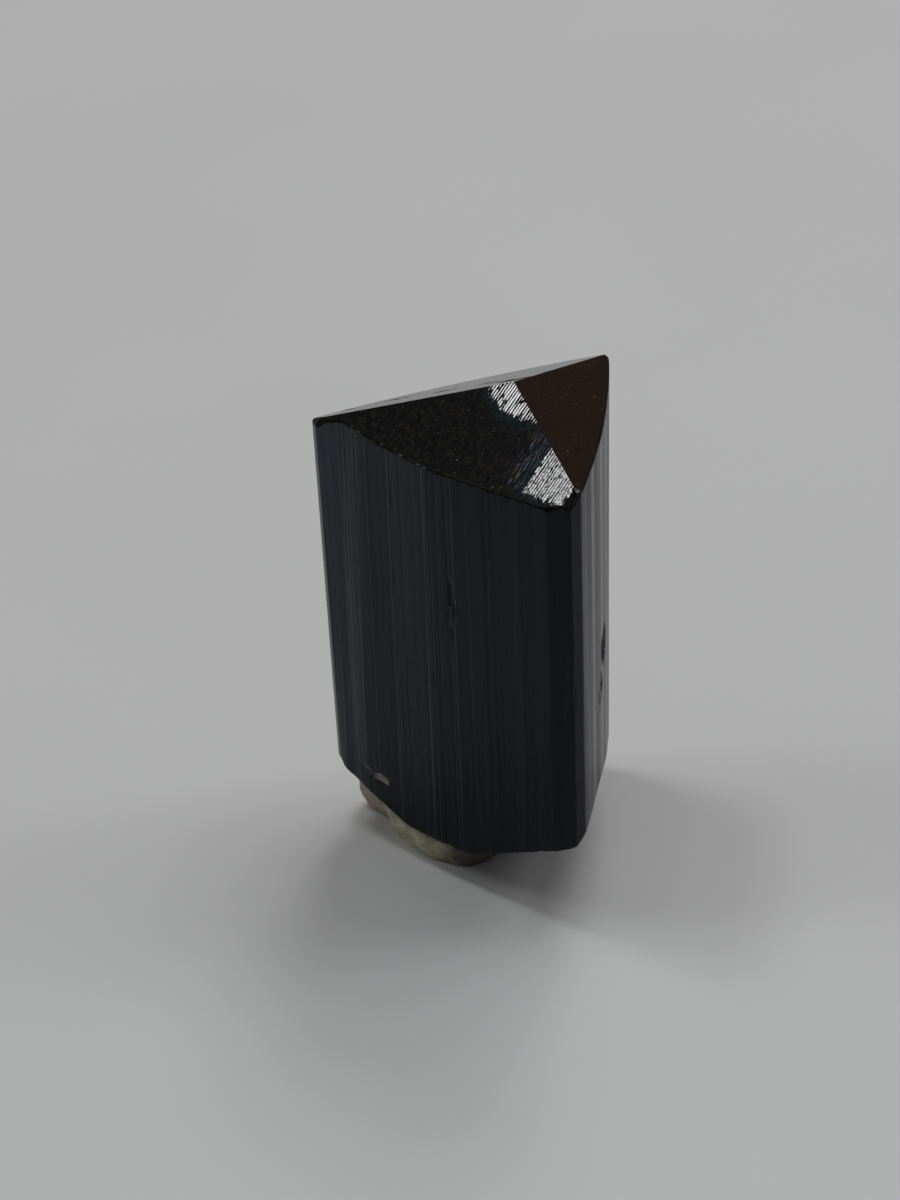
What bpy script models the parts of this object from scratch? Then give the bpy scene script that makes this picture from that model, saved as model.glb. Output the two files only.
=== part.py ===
"""A black tourmaline (schorl) crystal standing on a remnant of its pale feldspar matrix.

The crystal's own axis, its c-axis, is +Z. The prism has three slightly convex sides and is closed
by three rhombohedron faces that meet at the apex. Its lower end is a fracture of three rough
planes, and that end is stuck on the matrix, whose flat underside is the foot of the whole piece.
Azimuths are measured in degrees from +X towards +Y, in plan, around the crystal's own axis.
"""

import math

import bmesh
import bpy
from mathutils import Vector

MM = 0.001

# The whole piece
APEX_HEIGHT = 32.8 * MM        # apex above the foot
GAP = 0.3 * MM                 # play between neighbouring pieces
BLANK_HEIGHT = 1.1 * APEX_HEIGHT    # the uncut prism is a little taller than the crystal
CUT_TOLERANCE = 1e-7           # points this close to a cutting plane count as on it

# The crystal's section: three corners in plan, and how far each side bulges past its chord
LEFT_CORNER = (170.5, 12.36 * MM)         # azimuth, distance from the crystal's axis
FRONT_CORNER = (-73.1, 10.25 * MM)
RIGHT_CORNER = (50.6, 9.08 * MM)
RIGHT_CORNER_AT_FOOT = 8.5 * MM           # the prism leans in a little at this corner
FRONT_BULGE = 0.25 * MM
RIGHT_BULGE = 0.55 * MM
BACK_BULGE = 2.5 * MM
LEFT_HOLLOW = (0.8 * MM, 0.13, 0.468)     # depth at the top, shares of the front side: deepest, end
SIDE_STEPS = 36                           # flat strips that make each convex side
STRIA_DEPTH = 0.08 * MM                   # the deepest growth groove between the strips
STRIA_LEVELS = (0.0, 0.3, 0.1, 1.0, 0.2, 0.0, 0.6)   # shares of that depth, repeated round the prism
EDGE_FACES = ((-98.8, 8.45 * MM), (-158.8, 10.12 * MM), (-36.0, 7.6 * MM))   # narrow faces at the edges

# The termination: three faces that dip away from the apex
FACE_DIP = math.radians(27.46)
FACE_AZIMUTHS = (-128.8, -8.8, 111.2)

# The fracture at the lower end: height on the crystal's axis, and slopes along X and Y
FRACTURE_PLANES = (
    (2.4 * MM, 0.0, 0.0),
    (3.14 * MM, 0.465, -0.203),
    (-1.62 * MM, -0.54, 0.0),
)

# The matrix: an oval cake with a lobe under the left corner
MATRIX_CENTRE = (-3.4 * MM, 1.0 * MM)     # in plan, from the crystal's axis
MATRIX_RADII = (5.6 * MM, 4.25 * MM)
# Lobes that stand past the oval or fall short of it: azimuth, reach, half width in degrees
MATRIX_LOBES = ((159.0, 2.9 * MM, 11.0), (208.0, -0.65 * MM, 24.0), (310.0, -0.75 * MM, 22.0))
MATRIX_WAVES = ((3, 0.05, 40.0), (5, 0.035, 110.0), (8, 0.02, 15.0))   # count, share, phase
MATRIX_PROFILE = ((0.0, 0.93), (0.8, 0.98), (1.8, 1.0), (2.8, 0.97), (3.8, 0.9), (5.4, 0.7))  # mm, share
MATRIX_COLUMNS = 72
FRACTURE_BLOCK_HALF = 2.0 * LEFT_CORNER[1]    # half width of the block that shapes the matrix's top

# The feldspar flake grown into the front side, just above the lower edge
FLAKE_PLACE = (-9.1 * MM, 5.3 * MM)       # plan X of its middle from the axis, and its height
FLAKE_SIZE = (2.3 * MM, 0.8 * MM)         # length along the side, height
FLAKE_THICKNESS = 0.5 * MM
FLAKE_PROUD = 0.08 * MM
FLAKE_SLANT = math.radians(-14.0)         # its long edges run down to the right


def clear_scene():
    """Remove whatever the open file holds."""
    for item in list(bpy.data.objects):
        bpy.data.objects.remove(item, do_unlink=True)


def stone(name, colour, roughness):
    """A Principled material of one plain colour."""
    material = bpy.data.materials.new(name)
    material.use_nodes = True
    shader = material.node_tree.nodes["Principled BSDF"]
    shader.inputs["Base Color"].default_value = (*colour, 1.0)
    shader.inputs["Roughness"].default_value = roughness
    return material


def add_object(name, form, material):
    """Turn a bmesh into a named object with outward faces."""
    bmesh.ops.recalc_face_normals(form, faces=form.faces)
    mesh = bpy.data.meshes.new(name)
    form.to_mesh(mesh)
    form.free()
    if material:
        mesh.materials.append(material)
    item = bpy.data.objects.new(name, mesh)
    bpy.context.collection.objects.link(item)
    return item


def direction(azimuth):
    """Unit vector in plan at an azimuth in degrees."""
    angle = math.radians(azimuth)
    return Vector((math.cos(angle), math.sin(angle), 0.0))


def hollow_at(share):
    """Depth of the hollow beside the left corner: a straight rise to its deepest, then a straight fall."""
    depth, deepest, last = LEFT_HOLLOW
    return depth * max(0.0, min(share / deepest, (last - share) / (last - deepest)))


def side_points(start, end, bulge, hollow):
    """Points of a shallow arc from start towards end, without its last point."""
    chord = end - start
    outward = Vector((chord.y, -chord.x, 0.0)).normalized()
    points = []
    for step in range(SIDE_STEPS):
        share = step / SIDE_STEPS
        rise = 4.0 * share * (1.0 - share) * bulge
        recess = STRIA_DEPTH * STRIA_LEVELS[step % len(STRIA_LEVELS)] + hollow * hollow_at(share)
        points.append(start + chord * share + outward * (rise - recess))
    return points


def section(right_radius, hollow):
    """The prism's outline in plan, anticlockwise: reach of the right corner, share of the left hollow."""
    left = direction(LEFT_CORNER[0]) * LEFT_CORNER[1]
    front = direction(FRONT_CORNER[0]) * FRONT_CORNER[1]
    right = direction(RIGHT_CORNER[0]) * right_radius
    points = side_points(left, front, FRONT_BULGE, hollow)
    points += side_points(front, right, RIGHT_BULGE, 0.0)
    return points + side_points(right, left, BACK_BULGE, 0.0)


def stack(form, rings):
    """Join rings of equal count into a closed form with flat ends."""
    rows = [[form.verts.new(point) for point in ring] for ring in rings]
    for lower, upper in zip(rows, rows[1:]):
        for index in range(len(lower)):
            following = (index + 1) % len(lower)
            form.faces.new((lower[index], lower[following], upper[following], upper[index]))
    form.faces.new(reversed(rows[0]))
    form.faces.new(rows[-1])
    bmesh.ops.triangulate(form, faces=[face for face in form.faces if len(face.verts) > 4])


def cut(form, point, outward):
    """Cut away what lies beyond a plane, and close the opening."""
    everything = form.verts[:] + form.edges[:] + form.faces[:]
    made = bmesh.ops.bisect_plane(
        form, geom=everything, dist=CUT_TOLERANCE, plane_co=point, plane_no=outward, clear_outer=True)
    rim = [item for item in made["geom_cut"] if isinstance(item, bmesh.types.BMEdge)]
    bmesh.ops.edgeloop_fill(form, edges=rim)


def cut_to_fracture(form, drop):
    """Keep what lies above every fracture plane, each plane lowered by drop."""
    for height, slope_x, slope_y in FRACTURE_PLANES:
        upward = Vector((-slope_x, -slope_y, 1.0)).normalized()
        cut(form, Vector((0.0, 0.0, height - drop / upward.z)), -upward)


def carve(item, cutter, name):
    """Boolean difference that keeps its cutter as a hidden guide."""
    cutter.hide_render = True
    cutter.display_type = "WIRE"
    step = item.modifiers.new(name, "BOOLEAN")
    step.operation = "DIFFERENCE"
    step.solver = "EXACT"
    step.object = cutter


def front_side_frame():
    """Middle of the flake on the front side, with the side's level direction and outward normal."""
    left = direction(LEFT_CORNER[0]) * LEFT_CORNER[1]
    front = direction(FRONT_CORNER[0]) * FRONT_CORNER[1]
    chord = front - left
    share = (FLAKE_PLACE[0] - left.x) / chord.x
    outward = Vector((chord.y, -chord.x, 0.0)).normalized()
    rise = 4.0 * share * (1.0 - share) * FRONT_BULGE - hollow_at(share) * FLAKE_PLACE[1] / BLANK_HEIGHT
    middle = left + chord * share + outward * rise
    middle.z = FLAKE_PLACE[1]
    return middle, chord.normalized(), outward


def flake_form(margin):
    """A slanted plate set into the front side, grown by margin on every face but the outer one."""
    middle, along, outward = front_side_frame()
    up = Vector((0.0, 0.0, 1.0))
    long_edge = along * math.cos(FLAKE_SLANT) + up * math.sin(FLAKE_SLANT)
    half_length = FLAKE_SIZE[0] / 2 + margin
    half_height = FLAKE_SIZE[1] / 2 + margin
    depths = (FLAKE_PROUD - FLAKE_THICKNESS - margin, FLAKE_PROUD + 2.0 * margin)
    form = bmesh.new()
    rings = []
    for depth in depths:
        ring = []
        for side, level in ((-1, -1), (1, -1), (1, 1), (-1, 1)):
            reach = long_edge * (side * half_length) + up * (level * half_height)
            ring.append(middle + reach + outward * depth)
        rings.append(ring)
    stack(form, rings)
    return form


def make_crystal(material):
    """Prism with convex sides, cut by the termination, the edge faces and the fracture."""
    form = bmesh.new()
    lower = [Vector((point.x, point.y, 0.0)) for point in section(RIGHT_CORNER_AT_FOOT, 0.0)]
    upper = [Vector((point.x, point.y, BLANK_HEIGHT)) for point in section(RIGHT_CORNER[1], 1.0)]
    stack(form, (lower, upper))
    apex = Vector((0.0, 0.0, APEX_HEIGHT))
    for azimuth in FACE_AZIMUTHS:
        normal = direction(azimuth) * math.sin(FACE_DIP) + Vector((0.0, 0.0, math.cos(FACE_DIP)))
        cut(form, apex, normal)
    for azimuth, distance in EDGE_FACES:
        cut(form, direction(azimuth) * distance, direction(azimuth))
    cut_to_fracture(form, 0.0)
    bmesh.ops.triangulate(form, faces=form.faces)
    crystal = add_object("schorl_crystal", form, material)
    seat = add_object("flake_seat", flake_form(GAP), material)
    carve(crystal, seat, "seat for the flake")
    return [crystal, seat]


def matrix_reach(azimuth):
    """Distance from the matrix's middle to its widest outline at an azimuth in degrees."""
    angle = math.radians(azimuth)
    oval = 1.0 / math.hypot(math.cos(angle) / MATRIX_RADII[0], math.sin(angle) / MATRIX_RADII[1])
    waves = sum(share * math.cos(count * angle + math.radians(phase))
                for count, share, phase in MATRIX_WAVES)
    reach = oval * (1.0 + waves)
    for middle, lobe, width in MATRIX_LOBES:
        off = (azimuth - middle + 180.0) % 360.0 - 180.0
        reach += lobe * math.exp(-(off / width) ** 2)
    return reach


def make_matrix(material):
    """Low cake whose top follows the fracture, one gap below it."""
    form = bmesh.new()
    rings = []
    for height, share in MATRIX_PROFILE:
        ring = []
        for column in range(MATRIX_COLUMNS):
            azimuth = 360.0 * column / MATRIX_COLUMNS
            reach = direction(azimuth) * (matrix_reach(azimuth) * share)
            ring.append(Vector((*MATRIX_CENTRE, height * MM)) + reach)
        rings.append(ring)
    stack(form, rings)
    matrix = add_object("feldspar_matrix", form, material)
    carve(matrix, fracture_block(), "top fits the fracture")
    return [matrix, matrix.modifiers[0].object]


def fracture_block():
    """A block whose underside is the crystal's fracture, one gap lower."""
    form = bmesh.new()
    half = FRACTURE_BLOCK_HALF
    corners = ((-half, -half), (half, -half), (half, half), (-half, half))
    stack(form, [[Vector((x, y, height)) for x, y in corners] for height in (0.0, APEX_HEIGHT)])
    cut_to_fracture(form, GAP)
    return add_object("fracture_block", form, None)


def stand_on_origin(items):
    """Shift the meshes so that the middle of the whole piece's box, in plan, is the origin."""
    solids = [item for item in items if not item.hide_render]
    corners = [vertex.co for item in solids for vertex in item.data.vertices]
    low = [min(corner[axis] for corner in corners) for axis in (0, 1)]
    high = [max(corner[axis] for corner in corners) for axis in (0, 1)]
    shift = Vector((-(low[0] + high[0]) / 2, -(low[1] + high[1]) / 2, 0.0))
    for item in items:
        for vertex in item.data.vertices:
            vertex.co += shift


clear_scene()
schorl = stone("schorl", (0.012, 0.013, 0.016), 0.22)
feldspar = stone("feldspar", (0.55, 0.52, 0.40), 0.6)
pink_feldspar = stone("pink_feldspar", (0.36, 0.25, 0.22), 0.4)
pieces = make_crystal(schorl)
pieces.extend(make_matrix(feldspar))
pieces.append(add_object("feldspar_flake", flake_form(0.0), pink_feldspar))
stand_on_origin(pieces)
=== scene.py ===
# %% [markdown]
# # A black tourmaline crystal on its feldspar remnant
#
# The piece is a single prism of schorl, the black iron tourmaline. It has three slightly bowed sides
# with fine grooves running up them, a low cap of three faces, and a rough broken foot that still
# sits on a scrap of pale feldspar. This lesson builds the visible skin of each mineral around the
# packed solids, gives each one its finish, and lights it on a plain pale table.

import math

import bpy
import numpy as np
from mathutils import Matrix, Vector


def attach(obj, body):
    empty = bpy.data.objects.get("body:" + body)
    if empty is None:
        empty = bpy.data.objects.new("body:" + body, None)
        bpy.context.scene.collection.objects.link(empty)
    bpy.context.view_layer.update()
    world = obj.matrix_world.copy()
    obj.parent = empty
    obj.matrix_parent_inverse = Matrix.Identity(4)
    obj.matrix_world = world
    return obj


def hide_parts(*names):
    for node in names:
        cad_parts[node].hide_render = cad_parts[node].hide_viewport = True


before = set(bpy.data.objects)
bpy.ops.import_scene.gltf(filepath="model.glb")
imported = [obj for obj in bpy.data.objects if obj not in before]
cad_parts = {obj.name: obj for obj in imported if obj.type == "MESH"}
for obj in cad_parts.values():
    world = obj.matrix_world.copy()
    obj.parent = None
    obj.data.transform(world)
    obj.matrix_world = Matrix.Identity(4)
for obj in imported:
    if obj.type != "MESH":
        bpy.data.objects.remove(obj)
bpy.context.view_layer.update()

# %% [markdown]
# ## Where the crystal stands
#
# Tourmaline is built around one axis, and its top comes to a point on that axis. The packed solid's
# highest vertex is that point, so every size below is measured from it, in millimetres, with
# azimuths in degrees from +X towards +Y.

# %% The crystal's axis
MM = 0.001


def mesh_points(item):
    """All vertices of a mesh object as an array of rows."""
    points = np.empty(3 * len(item.data.vertices))
    item.data.vertices.foreach_get("co", points)
    return points.reshape(-1, 3)


cad_points = mesh_points(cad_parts["schorl_crystal"]) / MM
apex = cad_points[cad_points[:, 2].argmax()]
print("apex in mm:", apex.round(2))

# %% [markdown]
# ## Camera
#
# The view comes first, because it decides where fine detail is worth its triangles. The lens is a
# long one, held a hand's breadth and a half away and looking down at about 34 degrees, turned by a
# few degrees so that the crystal leans in the frame.

# %% Camera
CAMERA_FROM_APEX = (-0.5, -135.69, 78.04)
CAMERA_FORWARD = Vector((-0.0225, 0.8251, -0.5646))
CAMERA_RIGHT = Vector((0.9992, 0.0, -0.0399))
FOCAL_LENGTH_IN_PIXELS = 2760.0
PICTURE_HEIGHT = 1200.0
SENSOR = 36.0

scene = bpy.context.scene
camera_data = bpy.data.cameras.new("camera")
camera_data.sensor_width = SENSOR
camera_data.lens = SENSOR * FOCAL_LENGTH_IN_PIXELS / PICTURE_HEIGHT
camera_data.clip_start = 0.01
camera_data.clip_end = 20.0
camera = bpy.data.objects.new("camera", camera_data)
scene.collection.objects.link(camera)
forward = CAMERA_FORWARD.normalized()
right = (CAMERA_RIGHT - forward * CAMERA_RIGHT.dot(forward)).normalized()
turn = Matrix((right, right.cross(forward), -forward)).transposed()
camera.matrix_world = Matrix.Translation(Vector(apex + np.array(CAMERA_FROM_APEX)) * MM) @ turn.to_4x4()
scene.camera = camera
scene.view_settings.view_transform = "Standard"
print("lens:", round(camera_data.lens, 1), "mm")

# %% [markdown]
# ## Noise for rough stone
#
# Broken stone and grown faces need irregular heights that are the same on each run. Value noise does
# this: whole-number points of a lattice get a fixed pseudo-random value from a hash, and a point
# between them takes a smooth blend of its eight neighbours. Octaves of it add up to a rough surface.

# %% Value noise
HASH_PRIMES = (73856093, 19349663, 83492791)
HASH_SEED_PRIME = 374761393
HASH_MIX = 1274126177
WORD = 0xFFFFFFFF


def hashed(cell, seed):
    """A value from -1 to 1 for each whole-number cell: its coordinates are mixed by large primes."""
    bits = np.full(cell.shape[:-1], (seed * HASH_SEED_PRIME) & WORD, dtype=np.uint64)
    for axis, prime in enumerate(HASH_PRIMES):
        bits ^= (cell[..., axis].astype(np.int64) * prime).astype(np.uint64) & np.uint64(WORD)
    bits = (bits ^ (bits >> np.uint64(13))) * np.uint64(HASH_MIX) & np.uint64(WORD)
    bits ^= bits >> np.uint64(16)
    return (bits & np.uint64(0xFFFF)).astype(float) / 32767.5 - 1.0


def value_noise(points, seed):
    """Blend of the eight lattice values round each point, with weights 3t^2 - 2t^3 on each axis."""
    cell = np.floor(points)
    share = points - cell
    share = share * share * (3.0 - 2.0 * share)
    total = np.zeros(points.shape[:-1])
    for corner in np.ndindex(2, 2, 2):
        offset = np.array(corner)
        weight = np.prod(np.where(offset, share, 1.0 - share), axis=-1)
        total += weight * hashed(cell + offset, seed)
    return total


def rough(points, size, seed, octaves=4):
    """Sum of octaves: each has half the size and half the height of the one before."""
    return sum(value_noise(points * 2 ** level / size, seed + level) / 2 ** level
               for level in range(octaves))


print("noise sample:", value_noise(np.array([[0.3, 0.7, 0.1]]), 1).round(3))

# %% [markdown]
# ## Section of the prism
#
# Seen from above, the prism is a triangle with bowed sides. Each side is a long shallow arc between
# two corners, and narrow extra faces cut the edges, a habit of this mineral. The outline is written as
# a distance from the axis for each azimuth: the nearest of the three arcs and the cuts. A soft minimum
# rounds the edges by a few hundredths of a millimetre. A shallow hollow runs up beside the left corner.
# Corners and cuts are pairs of an azimuth and a distance.

# %% Section
LEFT_CORNER = (170.5, 12.36)
FRONT_CORNER = (-73.1, 10.25)
RIGHT_CORNER = (50.6, 9.08)
RIGHT_CORNER_AT_FOOT = (50.6, 8.5)
FRONT_BULGE, RIGHT_BULGE, BACK_BULGE = 0.25, 0.55, 2.5
LEFT_HOLLOW = (0.8, 0.13, 0.468)    # depth, then its deepest place and its end as shares of the side
HOLLOW_TURNS = 12
EDGE_FACES = ((-98.8, 8.45), (-158.8, 10.12), (-36.0, 7.60))
FACE_AZIMUTHS = (-128.8, -8.8, 111.2)
EDGE_ROUNDING = 0.02
LEAST_COSINE = 0.1
FAR_AWAY = 100.0


def plan(azimuth, distance):
    """Point in plan at an azimuth in degrees and a distance."""
    angle = np.radians(azimuth)
    return np.stack([distance * np.cos(angle), distance * np.sin(angle)], axis=-1)


def arc_reach(azimuth, start, end, bulge):
    """Distance to a shallow arc: where a ray from the axis leaves the arc's circle."""
    chord = end - start
    half = np.hypot(*chord) / 2.0
    radius = (half ** 2 + bulge ** 2) / (2.0 * bulge)
    outward = np.array([chord[1], -chord[0]]) / (2.0 * half)
    centre = (start + end) / 2.0 - outward * (radius - bulge)
    along = plan(azimuth, 1.0) @ centre
    return along + np.sqrt(radius ** 2 - centre @ centre + along ** 2)


def left_hollow(azimuth, reach):
    """Reach lost to the hollow beside the left corner, which rises and falls along the front side.

    The hollow is measured square to the side, so its place and the reach are found in turns."""
    start, end = plan(*LEFT_CORNER), plan(*FRONT_CORNER)
    chord = end - start
    depth, deepest, last = LEFT_HOLLOW
    slant = np.maximum(np.cos(np.radians(azimuth - FACE_AZIMUTHS[0])), LEAST_COSINE)
    lost = np.zeros(azimuth.shape)
    for _ in range(HOLLOW_TURNS):
        share = (plan(azimuth, reach - lost) - start) @ chord / (chord @ chord)
        fall = np.minimum(share / deepest, (last - share) / (last - deepest))
        lost = depth / slant * np.clip(fall, 0.0, None)
    return lost


def line_reach(azimuth, face):
    """Distance to a straight face: its distance over the cosine of the angle from its normal."""
    cosine = np.cos(np.radians(azimuth - face[0]))
    return np.where(cosine > LEAST_COSINE, face[1] / np.maximum(cosine, LEAST_COSINE), FAR_AWAY)


def outline_parts(azimuth, right_corner, hollow):
    """The distances to every side and cut, one row each."""
    left, front = plan(*LEFT_CORNER), plan(*FRONT_CORNER)
    right_point = plan(*right_corner)
    rows = [arc_reach(azimuth, left, front, FRONT_BULGE),
            arc_reach(azimuth, front, right_point, RIGHT_BULGE),
            arc_reach(azimuth, right_point, left, BACK_BULGE)]
    rows[0] = rows[0] - hollow * left_hollow(azimuth, rows[0])
    rows += [line_reach(azimuth, face) for face in EDGE_FACES]
    return np.array(rows)


def outline(azimuth, right_corner=RIGHT_CORNER, hollow=1.0):
    """Soft minimum of the parts: minus the log of the sum of their falling exponentials."""
    parts = outline_parts(azimuth, right_corner, hollow)
    nearest = parts.min(axis=0)
    return nearest - EDGE_ROUNDING * np.log(np.exp((nearest - parts) / EDGE_ROUNDING).sum(axis=0))


print("reach at the left corner:", outline(np.array([LEFT_CORNER[0]])).round(2))

# %% [markdown]
# ## Columns round the prism
#
# The skin is one grid. Its columns run from the middle of the foot, out to the broken rim, up the
# side and over the cap to the apex. The columns are closer together on the two sides that are seen
# at close range, and one column lies exactly on each edge, so that the edges stay crisp.

# %% Columns
SEAM = (-188.8, 171.2)        # the grid starts and ends on the left ridge
RIDGE_AZIMUTHS = (-68.8, 51.2)
COLUMN_COUNT = 780
SAMPLES = 14400
BACK_SIDE, BACK_WEIGHT = 2, 0.62


def perimeter(azimuth, reach):
    """Length walked along the outline up to each azimuth."""
    points = plan(azimuth, reach)
    return np.concatenate([[0.0], np.hypot(*np.diff(points, axis=0).T).cumsum()])


def column_azimuths():
    """Azimuths that share the outline's length by its weights, moved onto the edges where near."""
    fine = np.linspace(*SEAM, SAMPLES + 1)
    parts = outline_parts(fine, RIGHT_CORNER, 1.0)
    side = parts.argmin(axis=0)
    step = np.diff(perimeter(fine, parts.min(axis=0)))
    weight = np.where(side[1:] == BACK_SIDE, BACK_WEIGHT, 1.0)
    walked = np.concatenate([[0.0], (step * weight).cumsum()])
    azimuth = np.interp(np.arange(COLUMN_COUNT) * walked[-1] / COLUMN_COUNT, walked, fine)
    for edge in [*fine[1:][np.diff(side) != 0], *RIDGE_AZIMUTHS]:
        azimuth[np.abs(azimuth - edge).argmin()] = edge
    return azimuth


azimuths = column_azimuths()
reach_top = outline(azimuths)
reach_foot = outline(azimuths, RIGHT_CORNER_AT_FOOT, 0.0)
walk = perimeter(azimuths, reach_top)
print("columns:", len(azimuths), "girth in mm:", round(float(walk[-1]), 1))

# %% [markdown]
# ## Cap as a height
#
# The three faces of the cap dip away from the apex by the same angle, a constant of the mineral, and
# a small fourth face takes off the cap's front corner. The cap's height at any point is the lowest of
# these planes. Cutting a prism with four planes would give the same shape, but a height can also tell
# the skin's rings where the edge is. Two directions lie in the front face: one level, and one rising to
# the right.

# %% Cap
FACE_DIP = math.radians(27.46)
LEVEL_WAY = np.array([0.779, -0.627, 0.0])
RISING_WAY = np.array([0.546, 0.699, 0.461])
CORNER_FACE_PLACE, CORNER_FACE_TILT = 7.38, math.radians(32.0)


def end_normals():
    """Unit normals of the three end faces, one row each."""
    flat = plan(np.array(FACE_AZIMUTHS), math.sin(FACE_DIP))
    return np.column_stack([flat, np.full(len(flat), math.cos(FACE_DIP))])


def plane_height(points, normal, through):
    """Height where a plane through a point stands over each place in plan."""
    return through[2] - (points - through[:2]) @ normal[:2] / normal[2]


def cap_height(points):
    """Lowest of the three end faces through the apex and the small corner face."""
    normals = end_normals()
    corner = math.cos(CORNER_FACE_TILT) * normals[0] + math.sin(CORNER_FACE_TILT) * LEVEL_WAY
    heights = [plane_height(points, normal, np.zeros(3)) for normal in normals]
    heights.append(plane_height(points, corner, CORNER_FACE_PLACE * LEVEL_WAY))
    return apex[2] + np.array(heights).min(axis=0)


print("cap height over the left corner in mm:", cap_height(plan(*LEFT_CORNER)).round(2))

# %% [markdown]
# ## Broken foot as a height
#
# The foot broke along three rough planes, each a base height and two slopes. Its height is a soft
# maximum of them, hollowed where shell-shaped flakes left the right side and the front corner, with
# faint arcs and some grain. It could be sculpted, but a height in plan is shared with the matrix, so
# that the two fit each other. Scoops are rounded hollows: a place, a width and a depth.

# %% Foot
FRACTURE_PLANES = ((2.4, 0.0, 0.0), (3.14, 0.465, -0.203), (-1.62, -0.54, 0.0))
FRACTURE_BLEND = 0.12
SCOOPS = ((6.0, -4.0, 3.6, 0.9), (5.3, -8.5, 1.1, 0.7), (5.9, 5.6, 1.5, 0.8),
          (2.7, -9.7, 1.3, -0.36))
RIPPLE_CENTRE, RIPPLE_SPACING, RIPPLE_HEIGHT = (7.5, -9.0), 0.9, 0.012
FOOT_GRAIN = 0.02


def foot_height(points):
    """Soft maximum of three planes, plus rounded scoops, ripples round a point and rough grain."""
    x, y = points[..., 0], points[..., 1]
    planes = np.array([base + slope_x * x + slope_y * y for base, slope_x, slope_y in FRACTURE_PLANES])
    top = planes.max(axis=0)
    height = top + FRACTURE_BLEND * np.log(np.exp((planes - top) / FRACTURE_BLEND).sum(axis=0))
    for scoop_x, scoop_y, width, depth in SCOOPS:
        away = np.hypot(x - scoop_x, y - scoop_y)
        height += depth * np.exp(-(away / width) ** 2)
    ring = np.hypot(x - RIPPLE_CENTRE[0], y - RIPPLE_CENTRE[1])
    flat = np.stack([x, y, 0 * x], axis=-1)
    height += RIPPLE_HEIGHT * np.sin((ring + rough(flat, 4.0, 5, 2)) * 2.0 * math.pi / RIPPLE_SPACING)
    return height + FOOT_GRAIN * rough(flat, 1.6, 11, 4)


print("foot height at the left corner in mm:", foot_height(plan(*LEFT_CORNER)).round(2))

# %% [markdown]
# ## Growth strips on the sides
#
# Tourmaline's sides are built of narrow strips that run the whole length of the prism. Each strip is
# nearly flat and leans by a degree or so, so neighbouring strips catch different light. They could
# be painted as lines, but real small slopes make them shift and shine as the piece turns. The level
# at each edge between strips is drawn from a seeded generator, and many levels change part way up,
# as grown strips do.

# %% Strips
STRIPS = ((3, 1.2, 0.022, 0.006), (7, 0.26, 0.0045, 0.003))      # seed, width, rise and change
STRIP_SPREAD = (-0.25, 0.75)
STRIP_START = 0.5
GIRTH = float(walk[-1]) + 1.0
CHANGE_HEIGHTS, CHANGE_LENGTH = (-6.0, 36.0), 0.4


def strip_relief(walked, height, seed, width, rise, change):
    """Recess in mm: a random level at each strip's edge, joined by straight lines across the strip.

    Each level rises or falls by a random amount above a random height, so that lines start and end."""
    draw = np.random.default_rng(seed)
    count = int(3.0 * GIRTH / width)
    edges = (width * draw.lognormal(*STRIP_SPREAD, count)).cumsum()
    edges -= edges[0] + STRIP_START
    first, second = draw.normal(0.0, rise, count), draw.normal(0.0, change, count)
    breaks = draw.uniform(*CHANGE_HEIGHTS, count)
    after = np.searchsorted(edges, walked)
    share = (walked - edges[after - 1]) / (edges[after] - edges[after - 1])
    levels = [first[at] + second[at] * np.clip((height - breaks[at]) / CHANGE_LENGTH, 0.0, 1.0)
              for at in (after - 1, after)]
    return levels[0] * (1.0 - share) + levels[1] * share


print("girth covered by strips in mm:", round(GIRTH, 1))

# %% [markdown]
# ## Single grooves
#
# Some grooves in front are deep enough to see one by one. They could be dark lines in the finish, but a
# real valley catches the light on one wall and loses it on the other. Each is given by its walk from
# the left ridge, its width, its depth and how far it drifts sideways on the way down.

# %% Grooves
FRONT_GROOVES = (
    (2.15, 0.07, 0.012, 0.05), (2.93, 0.06, 0.014, 0.0), (5.80, 0.06, 0.03, 0.35),
    (5.98, 0.05, 0.02, 0.35), (8.78, 0.07, 0.03, 0.5), (9.25, 0.10, 0.02, 0.4),
    (9.95, 0.07, 0.02, 0.2), (11.3, 0.08, 0.012, 0.1), (13.6, 0.07, 0.012, 0.1),
    (15.2, 0.08, 0.015, 0.0),
)


def groove_relief(walked, height):
    """A valley with sloping walls at each groove's place, drifting a little with height."""
    recess = np.zeros(np.broadcast(walked, height).shape)
    for middle, width, depth, drift in FRONT_GROOVES:
        off = np.abs(walked - middle - drift * (height - apex[2]) / apex[2]) / width
        recess += depth * np.clip(1.0 - off, 0.0, 1.0)
    return recess


print("grooves named on the front:", len(FRONT_GROOVES))

# %% [markdown]
# ## Pits and nicks
#
# Here and there the surface is eaten into by small long pits, and the right side carries two deeper
# nicks. They could be cut with booleans, but a recess by formula keeps the grid whole. Each is a
# rounded hollow with a ragged edge from the noise, given by its walk, height, half width, half length
# and depth.

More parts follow.
